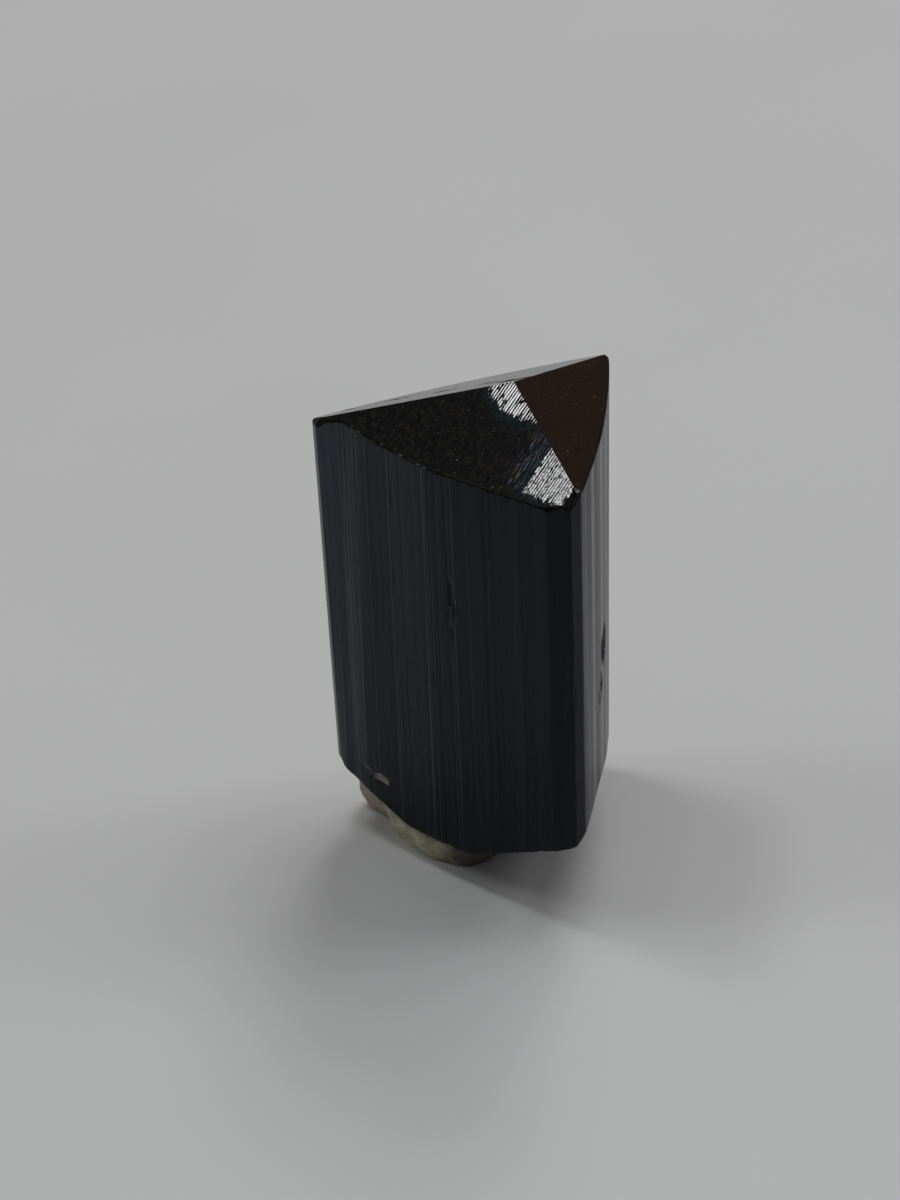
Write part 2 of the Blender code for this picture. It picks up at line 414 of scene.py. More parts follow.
# %% Pits
SIDE_PITS = (
    (10.0, 21.5, 0.16, 0.9, 0.13), (10.3, 20.4, 0.16, 0.6, 0.12), (9.75, 20.0, 0.12, 0.45, 0.10),
    (10.05, 18.8, 0.10, 0.5, 0.08), (18.3, 21.0, 0.10, 0.9, 0.05), (18.35, 17.2, 0.12, 1.2, 0.06),
    (18.2, 13.4, 0.10, 0.9, 0.05), (6.8, 21.2, 0.10, 0.14, 0.04), (11.7, 25.8, 0.10, 0.12, 0.05),
    (26.2, 15.3, 1.3, 1.2, 0.22), (24.4, 13.4, 1.0, 1.1, 0.12), (41.0, 19.0, 1.4, 1.0, 0.25),
    (47.5, 8.0, 0.9, 1.8, 0.3), (52.0, 24.0, 0.5, 1.4, 0.15), (36.5, 27.0, 0.5, 0.8, 0.12),
)


def pit_relief(walked, height, points):
    """Sum of rounded hollows, each with its reach pushed about by noise, and faint rings inside."""
    ragged = rough(points, 0.6, 21, 3)
    recess = np.zeros(ragged.shape)
    for middle, level, width, length, depth in SIDE_PITS:
        away = np.hypot((walked - middle) / width, (height - level) / length) + 0.22 * ragged
        bowl = np.clip(1.0 - away ** 2, 0.0, 1.0)
        recess += depth * np.sqrt(bowl) * (1.0 + 0.06 * np.sin(away * 16.0))
    return recess


print("pits:", len(SIDE_PITS), "deepest in mm:", max(pit[-1] for pit in SIDE_PITS))

# %% [markdown]
# ## Seat of the feldspar grain
#
# A small feldspar grain is grown into the front near the foot. The crystal has a hollow there with a
# ragged rim, a little wider than the grain. The grain's place is written once, along the walk round
# the prism and in height, and both the hollow and the grain use it.

# %% Seat
FLAKE_WALK, FLAKE_HEIGHT = 3.62, 5.3
FLAKE_HALF_LENGTH, FLAKE_HALF_HEIGHT = 1.15, 0.27
FLAKE_SLANT = math.radians(-14.0)
FLAKE_STEP, FLAKE_STEP_LENGTH = 0.20, 0.3
FLAKE_SQUARENESS = 5.0
SEAT_DEPTH, SEAT_EDGE, SEAT_FADE = 0.08, 1.06, 0.12


def flake_drop(along):
    """How much lower the grain's left half lies than its right half."""
    return FLAKE_STEP * np.clip(0.5 - along / FLAKE_STEP_LENGTH, 0.0, 1.0)


def flake_away(walked, height):
    """Distance from the grain's middle in units of its half sizes, along its slanted long edge."""
    along = (walked - FLAKE_WALK) / math.cos(FLAKE_SLANT)
    level = height - FLAKE_HEIGHT - along * math.sin(FLAKE_SLANT) + flake_drop(along)
    power = FLAKE_SQUARENESS
    sides = np.abs(along / FLAKE_HALF_LENGTH) ** power + np.abs(level / FLAKE_HALF_HEIGHT) ** power
    return sides ** (1.0 / power)


def seat_relief(walked, height, points):
    """A hollow that is full depth under the grain and fades out just past its edge."""
    away = flake_away(walked, height) + 0.16 * rough(points, 0.5, 31, 3)
    return SEAT_DEPTH * np.clip((SEAT_EDGE - away) / SEAT_FADE, 0.0, 1.0)


print("seat's middle at walk and height in mm:", FLAKE_WALK, FLAKE_HEIGHT)

# %% [markdown]
# ## The walls
#
# The prism tapers a little towards its foot at the right, so the outline is blended between a section
# at the foot and one just above the apex. All the recesses are then taken off, square to the axis. A
# Displace modifier could do that too, but here the rims can ask for the same wall at any height.

# %% Walls
BLANK_HEIGHT = 1.1 * apex[2]


def side_relief(walked, height, points):
    """All recesses of the sides together, in mm."""
    grown = sum(strip_relief(walked, height, *strip) for strip in STRIPS) + groove_relief(walked, height)
    uneven = 0.006 * rough(points * (1.0, 1.0, 0.12), 0.9, 41, 3)
    return grown + uneven + pit_relief(walked, height, points) + seat_relief(walked, height, points)


def wall_radius(height):
    """Reach of each column at a height: the outline leans from foot to top, less the recesses."""
    reach = reach_foot + (reach_top - reach_foot) * height / BLANK_HEIGHT
    points = np.concatenate([plan(azimuths, reach), np.broadcast_to(height, reach.shape)[:, None]], axis=1)
    return reach - side_relief(walk, np.broadcast_to(height, reach.shape), points)


print("mean reach half way up in mm:", wall_radius(0.5 * apex[2]).mean().round(2))

# %% [markdown]
# ## Worn rims
#
# Where the walls meet the cap and the foot, the edge isn't sharp. It is worn back by a few hundredths
# of a millimetre, more at the corners, and small chips follow it. A Bevel modifier would round it
# evenly, so the width of the wear is a formula instead. The rim's own line is found by stepping between
# the wall and the surface it meets.

# %% Rims
WORN_CORNERS = ((-188.8, 0.42, 0.65), (-80.0, 0.06, 0.5), (50.6, 0.40, 0.6))    # azimuth, width, reach
WORN_STRIP, WORN_STRIP_END, WORN_STRIP_FADE = 0.10, 2.9, 0.5
TOP_WEAR, FOOT_WEAR = (0.08, 0.55, 0.22), (0.06, 0.7, 0.12)      # base width, chip size and depth
CHIP_START = 0.35
SETTLING_TURNS = 4


def rim_wear(points, base, chip_size, chip_depth):
    """Width of the worn edge: a base, more over the left corner's strip, and chips where noise peaks."""
    wear = base + WORN_STRIP * np.clip((WORN_STRIP_END - walk) / WORN_STRIP_FADE, 0.0, 1.0)
    for azimuth, extra, reach in WORN_CORNERS:
        gap = np.abs(walk - np.interp(azimuth, azimuths, walk))
        wear = wear + extra * np.exp(-(np.minimum(gap, walk[-1] - gap) / reach) ** 2)
    return wear + chip_depth * np.clip(rough(points, chip_size, 51, 3) - CHIP_START, 0.0, None)


def settle(surface, start):
    """Rim of the wall on a surface: step between height and reach until they agree."""
    height = np.full(len(azimuths), start)
    for _ in range(SETTLING_TURNS):
        radius = wall_radius(height)
        height = surface(plan(azimuths, radius))
    return radius, height


def ring(radius, height):
    """One ring of points at a radius and height for each column."""
    return np.column_stack([plan(azimuths, radius), np.broadcast_to(height, radius.shape)])


top_radius, top_height = settle(cap_height, apex[2] - 3.0)
foot_radius, foot_rim = settle(foot_height, 4.0)
top_points = ring(top_radius, top_height)
top_wear = rim_wear(top_points, *TOP_WEAR)
foot_wear = rim_wear(ring(foot_radius, foot_rim), *FOOT_WEAR)
print("rim heights in mm:", foot_rim.min().round(2), foot_rim.max().round(2),
      top_height.min().round(2), top_height.max().round(2))

# %% [markdown]
# ## Rings of the crystal's skin
#
# Rings of points climb the crystal: the foot's rings from its middle outwards, then the side's rings,
# short curved rings over each worn rim, and the cap's rings shrinking to the apex. Booleans would leave
# long thin faces that shade badly. Here each ring is a whole array over the columns, so the surface is
# one function of column and ring.

# %% Side rings
SIDE_ROWS, CAP_ROWS, FOOT_ROWS = 84, 22, 12
RIM_SHARES = (0.25, 0.5, 0.75)


def side_rings():
    """Rings between the two worn rims, evenly shared in height on each column."""
    low, high = foot_rim + foot_wear, top_height - top_wear
    shares = np.linspace(0.0, 1.0, SIDE_ROWS)
    return [ring(wall_radius(low + (high - low) * share), low + (high - low) * share)
            for share in shares]


def rim_rings(start, corner, end):
    """Rings on a curve that leaves one surface, heads for the true corner and lands on the other."""
    return [(1 - t) ** 2 * start + 2 * t * (1 - t) * corner + t ** 2 * end for t in RIM_SHARES]


print("rings over the sides and each rim:", SIDE_ROWS, len(RIM_SHARES))

# %% [markdown]
# ## Rings of the cap and the foot
#
# The end faces are hardly rough, but a few long thin hollows run along the ridge at the back. The
# cap's rings crowd towards the rim, and the first one lies just inside it, so that the shading of the
# flat faces doesn't bend there. Plain flat faces would need fewer points, but they couldn't hold the
# hollows. The broken foot takes its shape from its height alone.

# %% Cap and foot rings
LANDING, LAST_SHARE, CROWDING = 0.992, 0.02, 0.85
FOOT_START = 0.04
END_GRAIN, LEDGE_DEPTH = 0.004, 0.06
LEDGES = ((-6.7, 4.2, 1.1, 0.16), (-0.3, 1.5, 1.4, 0.12), (-3.9, 3.4, 0.9, 0.08))


def cap_relief(points):
    """Grain of the end faces in mm, less a few long thin hollows along the far edge."""
    relief = END_GRAIN * rough(points, 0.5, 61, 3)
    axis = plan(SEAM[1], 1.0)
    for x, y, length, width in LEDGES:
        gap = points[..., :2] - (x, y)
        along = gap @ axis
        across = gap @ np.array([-axis[1], axis[0]])
        relief = relief - LEDGE_DEPTH * np.exp(-(along / length) ** 2 - (across / width) ** 2)
    return relief


def cap_rings():
    """Rings from the worn rim to the apex: the reach shrinks in even shares, finer near the rim."""
    inner = top_radius - top_wear
    low = top_height - top_wear
    landing = ring(inner, cap_height(plan(azimuths, inner)))
    rings = rim_rings(ring(wall_radius(low), low), ring(top_radius, top_height), landing)
    for share in [1.0, *np.linspace(LANDING, LAST_SHARE, CAP_ROWS) ** CROWDING]:
        flat = ring(inner * share, 0.0)
        flat[:, 2] = cap_height(flat[:, :2]) + cap_relief(flat)
        rings.append(flat)
    return rings


def foot_rings():
    """Rings from the middle of the broken foot to its worn rim."""
    inner = foot_radius - foot_wear
    rings = []
    for share in np.linspace(FOOT_START, 1.0, FOOT_ROWS):
        flat = ring(inner * share, 0.0)
        flat[:, 2] = foot_height(flat[:, :2])
        rings.append(flat)
    high = foot_rim + foot_wear
    leaving = ring(inner, foot_height(plan(azimuths, inner)))
    return rings + rim_rings(leaving, ring(foot_radius, foot_rim), ring(wall_radius(high), high))


skin = np.array(foot_rings() + side_rings() + cap_rings())
print("crystal skin rings and columns:", skin.shape[:2])

# %% [markdown]
# ## Node helpers
#
# Each finish is a small tree of nodes. It could be wired by hand in the shader editor, but then no one
# could read it as text. Here a field is one value in a tree, and arithmetic with fields adds the Math
# nodes, so that a pattern reads like its formula.

# %% Fields
class Field:
    """One value in a node tree; arithmetic with it adds Math nodes."""

    def __init__(self, socket):
        self.socket, self.tree = socket, socket.id_data

    def __add__(self, other):
        return maths("ADD", self, other)

    def __sub__(self, other):
        return maths("SUBTRACT", self, other)

    def __rsub__(self, other):
        return maths("SUBTRACT", other, self)

    def __mul__(self, other):
        return maths("MULTIPLY", self, other)

    def __truediv__(self, other):
        return maths("DIVIDE", self, other)

    def __abs__(self):
        return maths("ABSOLUTE", self)


def connect(node, inputs):
    """Each input of the node gets a value, or a link when the value is a field."""
    for name, value in inputs.items():
        if isinstance(value, Field):
            node.id_data.links.new(value.socket, node.inputs[name])
        else:
            node.inputs[name].default_value = value


def add(tree, kind, inputs, output=0, **settings):
    """A new node with its settings and inputs; one of its outputs is returned as a field."""
    made = tree.nodes.new(kind)
    for name, value in settings.items():
        setattr(made, name, value)
    connect(made, inputs)
    return Field(made.outputs[output])


def maths(operation, *values):
    """One Math node; at least one of the values is a field."""
    tree = next(value.tree for value in values if isinstance(value, Field))
    return add(tree, "ShaderNodeMath", dict(enumerate(values)), operation=operation)


def most(first, second):
    """The larger of two values."""
    return maths("MAXIMUM", first, second)


def between(value, low, high):
    """0 below low, 1 above high, smooth between; the other way round when low is above high."""
    return add(value.tree, "ShaderNodeMapRange", {"Value": value, "From Min": low, "From Max": high},
               interpolation_type="SMOOTHSTEP")


print("arithmetic that fields know:", [name for name in vars(Field) if name not in vars(object)])

# %% [markdown]
# ## Patterns and colours
#
# Object coordinates carry the patterns, because a stone's grain goes right through it and has no seams.
# They are turned into millimetres from a chosen centre, so that every size in a finish is a real one.
# An unwrapped map could carry painted detail, but noise needs no painting and fits any face.

# %% Patterns
def place(tree, centre, stretch=(1.0, 1.0, 1.0)):
    """Object coordinates in mm from a centre, stretched per axis."""
    spot = add(tree, "ShaderNodeTexCoord", {}, "Object")
    where, size = [float(value) * MM for value in centre], [MM / share for share in stretch]
    return add(tree, "ShaderNodeMapping", {"Vector": spot, "Location": where, "Scale": size},
               vector_type="TEXTURE")


def grain(spot, per_mm, detail=3.0):
    """Noise with a number of blobs per mm."""
    return add(spot.tree, "ShaderNodeTexNoise", {"Vector": spot, "Scale": per_mm, "Detail": detail})


def dot(spot, way):
    """Share of a vector along a fixed direction."""
    return add(spot.tree, "ShaderNodeVectorMath", {0: spot, 1: way}, "Value", operation="DOT_PRODUCT")


def ramp(value, stops):
    """Colours at places from 0 to 1."""
    colour = add(value.tree, "ShaderNodeValToRGB", {"Fac": value})
    points = colour.socket.node.color_ramp.elements
    while len(points) < len(stops):
        points.new(0.5)
    for point, (where, tone) in zip(points, stops):
        point.position = where
        point.color = (*tone, 1.0)
    return colour


def mixed(share, first, second):
    """Two colours mixed by a share. Sockets 6 and 7 of the Mix node are its colours, output 2 its result."""
    tones = [tone if isinstance(tone, Field) else (*tone, 1.0) for tone in (first, second)]
    return add(share.tree, "ShaderNodeMix", {0: share, 6: tones[0], 7: tones[1]}, 2, data_type="RGBA")


def layered(colour, layers):
    """Colours laid over a first one in turn, each by its share."""
    for share, tone in layers:
        colour = mixed(share, colour, tone)
    return colour


print("patterns are in mm, at", round(1 / MM), "to one metre of object coordinates")

# %% [markdown]
# ## Bumps, leaning normals and the shader
#
# Relief finer than the mesh is a bump, with its height in millimetres like everything else. Where a whole
# strip or tooth leans, a bump would only shade its edges, so there the normal itself is leaned over.

# %% Normals and shader
UPRIGHT = (0.0, 0.0, 1.0)


def surface_normal(tree):
    """The surface's own normal."""
    return add(tree, "ShaderNodeNewGeometry", {}, "Normal")


def bumped(height_mm, normal=None):
    """Bump from a height in mm, on the surface's own normal or on one that already leans."""
    leaning = {"Normal": normal} if normal else {}
    return add(height_mm.tree, "ShaderNodeBump",
               {"Height": height_mm * MM, "Distance": 1.0, "Strength": 1.0, **leaning})


def leaned(way, slope):
    """The surface's normal leaned along a direction by a slope; way is a fixed direction or a field."""
    push = add(slope.tree, "ShaderNodeVectorMath", {0: way, "Scale": slope}, operation="SCALE")
    whole = add(slope.tree, "ShaderNodeVectorMath", {0: surface_normal(slope.tree), 1: push},
                operation="ADD")
    return add(slope.tree, "ShaderNodeVectorMath", {0: whole}, operation="NORMALIZE")


def level_way(tree):
    """The level direction within an upright surface: its normal crossed with the upright."""
    return add(tree, "ShaderNodeVectorMath", {0: surface_normal(tree), 1: UPRIGHT},
               operation="CROSS_PRODUCT")


def new_finish(name, centre):
    """A new finish, and the place on the piece in mm from a centre."""
    material = bpy.data.materials.new(name)
    material.use_nodes = True
    return material, place(material.node_tree, centre)


def settled(material, ior, colour, roughness, normal=None, gloss=0.5):
    """The finish with its shader set: constants as values, patterns as links."""
    leaning = {"Normal": normal} if normal else {}
    connect(material.node_tree.nodes["Principled BSDF"],
            {"IOR": ior, "Base Color": colour, "Roughness": roughness, "Specular IOR Level": gloss,
             **leaning})
    print(material.name, "nodes:", len(material.node_tree.nodes))
    return material


# %% [markdown]
# ## Tone of the sides
#
# Schorl is a glassy black with a breath of blue. It reflects like glass of a high index, 1.64. Its tone
# changes from strip to strip, so the noise is drawn out along the prism's axis. A paler grey lies over
# the left corner's strip, partly a dust haze and partly painted light. It thins out to the right, and
# painted shade darkens it towards the foot. It could be a second coat over the black, but a change of
# colour is enough for something so thin.

# %% Tone of the sides
SCHORL_IOR = 1.64
SIDEWAYS = (1.0, 0.0, 0.0)
# Paler grey over the left corner's strip: partly dust, partly painted light, with painted shade towards the
# foot.
HAZE_AND_LIGHT_START, HAZE_AND_LIGHT_REACH = 0.5, 12.5
HAZE_AND_LIGHT_BY_PLACE = ((0.0, 0.0), (0.33, 0.07), (0.56, 0.145), (0.81, 0.165), (0.85, 0.85))
DEEP_TONES = ((0.38, (0.0010, 0.0019, 0.0068)), (0.62, (0.0032, 0.0054, 0.0155)))
HAZE_AND_LIGHT_TONES = ((0.36, (0.043, 0.048, 0.066)), (0.64, (0.076, 0.083, 0.102)))


def streaks(spot, drawn_out, per_mm, detail):
    """Noise drawn out along the prism's axis, where only a share of its rate is left."""
    return grain(place(spot.tree, apex, (1.0, 1.0, drawn_out)), per_mm, detail)


def risen(spot, low, high):
    """0 below and 1 above two heights in mm over the foot; both lie lower towards the left."""
    return between(dot(spot, (-0.3, 0.0, 1.0)), low - apex[2], high - apex[2])


def side_tone(spot, stripes):
    """Bluish black, paled grey over the left corner's strip by dust and by painted light, thinning to the
    right and ending below in painted shade.
    """
    leftward = (HAZE_AND_LIGHT_START - dot(spot, SIDEWAYS)) / HAZE_AND_LIGHT_REACH
    # Painted light: paler at the left; the height mask below adds painted shade towards the foot.
    haze_and_painted_light = ramp(leftward, [(where, (share, share, share)) for where, share in HAZE_AND_LIGHT_BY_PLACE])
    return mixed(haze_and_painted_light * risen(spot, 4.5, 11.5), ramp(stripes, DEEP_TONES), ramp(stripes, HAZE_AND_LIGHT_TONES))


print("haze at the left corner:", HAZE_AND_LIGHT_BY_PLACE[-1][1])

# %% [markdown]
# ## Painted light and shade along the front grooves
# Beside some grooves in front one wall is painted pale and the other dark: painted highlights and
# painted shade along the groove. Such lines are too fine for the grid of the mesh and too regular for
# noise, so each is listed one by one: its walk along the front side at the top and at the foot, and its
# half width.

# %% Painted groove lines
FRONT_WAY, CHORD_WAY = (-0.627, -0.779, 0.0), (0.788, -0.615, 0.0)
CHORD_START = -10.56
GROOVE_HIGHLIGHTS = ((8.55, 8.08, 0.07), (5.75, 5.42, 0.05), (2.80, 2.70, 0.06), (2.05, 2.0, 0.05),
              (1.05, 0.95, 0.05), (3.9, 3.8, 0.04), (10.6, 10.3, 0.04))
GROOVE_SHADES = ((5.60, 5.28, 0.07), (8.40, 7.93, 0.05), (6.9, 6.7, 0.04), (12.9, 12.6, 0.05),
              (2.2, 2.15, 0.04))


def painted_groove_lines(spot, lines):
    """Share of the lines at a place: full within half of their half width, none past one and a half."""
    along, height = dot(spot, CHORD_WAY) - CHORD_START, dot(spot, UPRIGHT) + apex[2]
    total = 0.0
    for at_top, at_foot, half_width in lines:
        gap = abs(along - height * ((at_top - at_foot) / apex[2]) - at_foot)
        total = most(between(gap, 1.5 * half_width, 0.5 * half_width), total)
    return total


print("single lines:", len(GROOVE_HIGHLIGHTS), "pale,", len(GROOVE_SHADES), "dark")

# %% [markdown]
# ## Lean of the strips
#
# The mesh holds the wide strips, but the flash of a strip depends on a degree or two. So the normal of
# each strip leans to one side or the other as well. On the right side the lean grows towards both edges,
# in bands, and over the shell-shaped break at the foot.

# %% Lean of the strips
STRIP_LEAN = 0.10
RIGHT_WAY = (0.988, -0.153, 0.0)
AWAY = (0.0, 1.0, 0.0)
SHELL_TOP, SHELL_FADE = -1.7, 0.5
FAR_LEAN, NEAR_LEAN, BAND_LEAN, SHELL_LEAN, RIGHT_SHIFT = 0.32, 0.09, 0.14, 0.3, 0.045


def side_lean(spot):
    """Slope of each strip's normal; more at the right side's two ends and over the shell-shaped break."""
    lean = (between(streaks(spot, 0.008, 0.9, 3.0), 0.36, 0.64) - 0.5) * STRIP_LEAN
    depth = dot(spot, AWAY)
    bands = between(streaks(spot, 0.006, 0.62, 2.0), 0.40, 0.60)
    shell = dot(spot, (0.0, 0.45, 1.0)) + grain(spot, 0.9, 3.0) * 0.8 + apex[2]
    more = (between(depth, 4.0, 6.4) * FAR_LEAN + between(depth, -5.6, -8.4) * NEAR_LEAN
            + bands * BAND_LEAN + between(shell, SHELL_TOP, SHELL_TOP - SHELL_FADE) * SHELL_LEAN
            - RIGHT_SHIFT)
    return lean + more * between(dot(spot, RIGHT_WAY), 3.8, 4.2)


print("lean of the strips in degrees:", round(math.degrees(math.atan(0.5 * STRIP_LEAN)), 1))

# %% [markdown]
# ## Finish of the sides
#
# The parts come together here. Grooves too fine for the mesh, a few hundredths of a millimetre wide, are
# a bump from streaks, and the polish changes from strip to strip with the same streaks as the tone. A
# plain black glass would be simpler, but it would show the lamps as clean spots, which real sides don't.

# %% Side finish
LIT_TONE, CUT_TONE = (0.028, 0.034, 0.050), (0.0015, 0.0018, 0.003)
# Painted highlight and painted shade for the walls of the front grooves.
GROOVE_HIGHLIGHT_TONE, GROOVE_SHADE_TONE = (0.066, 0.071, 0.088), (0.0012, 0.0014, 0.002)
SPECK_TONE = (0.06, 0.06, 0.065)


def side_finish():
    """Striped in tone, polish and lean along the axis, with fine streaks painted paler as if lit, and
    painted highlights and painted shade along the grooves in front.
    """
    material, spot = new_finish("schorl sides", apex)
    stripes, fine = streaks(spot, 0.012, 2.2, 4.0), streaks(spot, 0.03, 9.0, 2.0)
    cuts, gaps = streaks(spot, 0.006, 3.4, 2.0), streaks(spot, 0.12, 1.2, 3.0)
    dust = grain(spot, 7.0, 2.0)
    painted_light_above_foot = risen(spot, 2.0, 12.0)
    seen = between(dot(spot, FRONT_WAY), 4.2, 4.8) * between(gaps, 0.25, 0.50) * (painted_light_above_foot * 0.8 + 0.2)
    colour = layered(side_tone(spot, stripes), (
        # Painted light: fine streaks painted paler as if lit, fading as painted shade towards the foot.
        (between(fine, 0.54, 0.66) * (painted_light_above_foot * 0.20 + 0.04), LIT_TONE),
        (between(cuts, 0.60, 0.66) * 0.5, CUT_TONE),
        # Painted highlights and painted shade along the front grooves, fading towards the foot.
        (painted_groove_lines(spot, GROOVE_HIGHLIGHTS) * seen * 0.65, GROOVE_HIGHLIGHT_TONE),
        (painted_groove_lines(spot, GROOVE_SHADES) * seen * 0.8, GROOVE_SHADE_TONE),
        (between(dust, 0.74, 0.78), SPECK_TONE)))
    normal = leaned(level_way(spot.tree), side_lean(spot))
    return settled(material, SCHORL_IOR, colour, stripes * 0.20 + 0.16,
                   bumped(dust * 0.002 + fine * 0.006, normal), gloss=0.12)


crystal_finishes = [side_finish()]

# %% [markdown]
# ## Bright patches of the front end face
#
# The front face of the cap is granular and almost black, but near the front ridge it is cut by
# saw-tooth grooves that run straight down the face and flash in the light from overhead. Two patches
# of them shine: one at the apex and one at the foot of the ridge, with a few lines of painted iridescence
# between. The patches are zones in the face's own two directions, in mm from the apex, with ragged edges.

# %% Bright patches
def flash_zones(level, rise, ragged):
    """Shares of the upper patch, the lower wedge, the band of painted iridescence and its painted green
    fringe.
    """
    from_middle = level - 1.9
    over = rise - (from_middle * from_middle * 0.108 - 2.2) + ragged
    aside, raised = ragged * 0.5 + level, rise + ragged
    started = between(level, -1.45, -1.0)
    inner = between(level, CORNER_FACE_PLACE, CORNER_FACE_PLACE - 0.1)
    upper = between(over, -0.15, 0.35) * started * (between(level, 3.0, 1.0) * 0.42 + 0.44)
    lower = between(aside, 4.6, 4.8) * between(raised, -6.42, -6.0) * inner
    band = between(level, 2.9, 3.9) * between(level, 4.8, 4.6) * between(raised, -6.4, -5.6)
    near = between(over, -0.9, 0.0) * started
    beside = between(aside, 4.3, 4.65) * between(raised, -6.9, -6.4) * inner
    fringe = most(near, beside) * (1.0 - most(upper, lower))
    return upper, lower, band, fringe


def groove_lines(level, wander, spacing, share):
    """Shares of straight lines along the face: a zigzag over the spacing, its width pushed by noise."""
    zigzag = maths("PINGPONG", wander * 0.09 + level, 0.5 * spacing)
    width = wander * (0.8 * spacing) + (0.5 * share - 0.4) * spacing
    return between(width - zigzag, -0.08 * spacing, 0.08 * spacing)


def drawn_down(level, rise, share):
    """Place on the face with only a share of the way down left, so that noise is drawn out downwards."""
    return add(level.tree, "ShaderNodeCombineXYZ", {"X": level, "Y": rise * share})


print("lower patch ends in mm from the apex:", CORNER_FACE_PLACE)

# %% [markdown]
# ## Finish of the front end face
#
# The teeth are too small for a bump to hold their slope, so the normal itself leans along the face, by
# about 7 degrees on the lit flank of each tooth. That flash is real: it comes and goes as the piece turns.
# A faint pale tone is also painted on the lit flanks as a painted highlight, and the coloured lines and
# green fringe are painted iridescence. Painted white streaks would stay bright from every side.

# %% Front end finish
TOOTH_SLOPE = math.tan(math.radians(7.5))
TOOTH_SPREAD = 0.07
COARSE_GROOVES, CLOSE_GROOVES = (0.18, 0.50), (0.17, 0.62)      # spacing and share of it that shines
FACE_TONES = ((0.43, (0.0003, 0.0003, 0.0003)), (0.50, (0.0024, 0.0019, 0.0015)),
              (0.57, (0.0150, 0.0118, 0.0088)))
# Hues of the painted iridescence in the coloured band.
PAINTED_IRIDESCENT_HUES = ((0.34, (0.03, 0.16, 0.17)), (0.42, (0.04, 0.08, 0.34)), (0.48, (0.26, 0.26, 0.34)),
             (0.53, (0.16, 0.11, 0.28)), (0.58, (0.17, 0.18, 0.04)), (0.66, (0.04, 0.15, 0.14)))
# The last two tones are painted light: a green fringe of painted iridescence and a faint painted highlight
# on the lit flanks.
CHIP_TONE, PAINTED_FRINGE_TONE, FLASH_TONE = (0.16, 0.15, 0.14), (0.005, 0.026, 0.024), (0.06, 0.066, 0.074)


def front_end_finish():
    """Granular black with slanted grooves in two bright patches, a faint painted highlight on their lit
    flanks, and a band of painted iridescence.
    """
    material, spot = new_finish("schorl front end", apex)
    level, rise = dot(spot, LEVEL_WAY), dot(spot, RISING_WAY)
    upper, lower, band, fringe = flash_zones(level, rise, grain(spot, 4.0, 3.0) * 0.7 - 0.35)
    lines_at, crumbs_at = drawn_down(level, rise, 0.09), drawn_down(level, rise, 0.45)
    wander = grain(lines_at, 4.5, 3.0)
    grit = between(grain(crumbs_at, 8.0, 3.0), 0.43, 0.52)
    chunks = between(grain(crumbs_at, 2.6, 3.0), 0.36, 0.46)
    coarse = groove_lines(level, wander, *COARSE_GROOVES) * chunks
    close = groove_lines(level, wander, *CLOSE_GROOVES) * (grit * 0.7 + 0.3)
    flash = most(upper * coarse, lower * close)
    painted_iridescence = band * between(grain(lines_at, 12.0, 1.0), 0.50, 0.60) * between(
        grain(spot, 14.0, 3.0), 0.38, 0.55)
    mottled = grain(drawn_down(level, rise, 0.22), 7.0, 3.0) * 0.6 + grain(spot, 3.2, 6.0) * 0.4
    # Painted iridescence in the band and fringe, and a painted highlight where the grooves flash.
    colour = layered(ramp(mottled, FACE_TONES), (
        (between(grain(spot, 7.0, 2.0), 0.70, 0.74), CHIP_TONE),
        (painted_iridescence, ramp(grain(lines_at, 4.6, 1.0), PAINTED_IRIDESCENT_HUES)),
        (fringe * between(mottled, 0.40, 0.56), PAINTED_FRINGE_TONE),
        (flash, FLASH_TONE)))
    swing = grain(spot, 5.0, 3.0) * TOOTH_SPREAD + (TOOTH_SLOPE - 0.5 * TOOTH_SPREAD)
    normal = bumped(grain(spot, 7.0, 4.0) * 0.005, leaned(LEVEL_WAY, flash * swing))
    return settled(material, SCHORL_IOR, colour, flash * 0.06 + 0.09, normal)


crystal_finishes.append(front_end_finish())

# %% [markdown]
# ## Cracks of the back end face
#
# The face behind the apex carries a few long dark cracks along its ridge. They could be cut into the
# mesh, but they are shallow, so the normal leans inside each of them instead. Each crack is a stretched
# oval: a place in plan, a length and a width.

# %% Cracks
BACK_CRACKS = ((-6.7, 4.2, 0.9, 0.3), (-0.1, 1.4, 1.3, 0.45), (-1.5, 2.6, 0.8, 0.3),
               (-4.0, 3.2, 1.0, 0.25), (-9.6, 3.6, 0.5, 0.2), (2.2, 2.6, 0.7, 0.25))
CRACK_AXIS, CRACK_ACROSS = (-0.988, 0.153, 0.0), (-0.153, -0.988, 0.0)
CRACK_LEAN = (0.10, -0.25, 0.03)


def cracks(spot, lines):
    """Share of long thin ovals at a place: along and across squared and added, pushed by noise."""
    wander = grain(spot, 1.3, 3.0) * 1.4 - 0.7
    spot_along, spot_across = dot(spot, CRACK_AXIS), dot(spot, CRACK_ACROSS) + wander
    total = 0.0
    for x, y, length, width in lines:
        along = (spot_along - (x * CRACK_AXIS[0] + y * CRACK_AXIS[1])) / length
        across = (spot_across - (x * CRACK_ACROSS[0] + y * CRACK_ACROSS[1])) / width
        total = most(between(along * along + across * across, 1.0, 0.4), total)
    return total


print("cracks:", len(BACK_CRACKS))

# %% [markdown]
# ## Finish of the other end faces and of the break
#
# The right face of the cap is smooth and looks warm brown in the room's light. The face behind is
# smooth too, with a dull haze. The foot is a fresh break: glassy, brown-black and uneven. The worn
# edges are dull, and the chips along the front rim are pale where the glass is bruised. These are one
# kind of surface with different numbers, so one function makes them all.

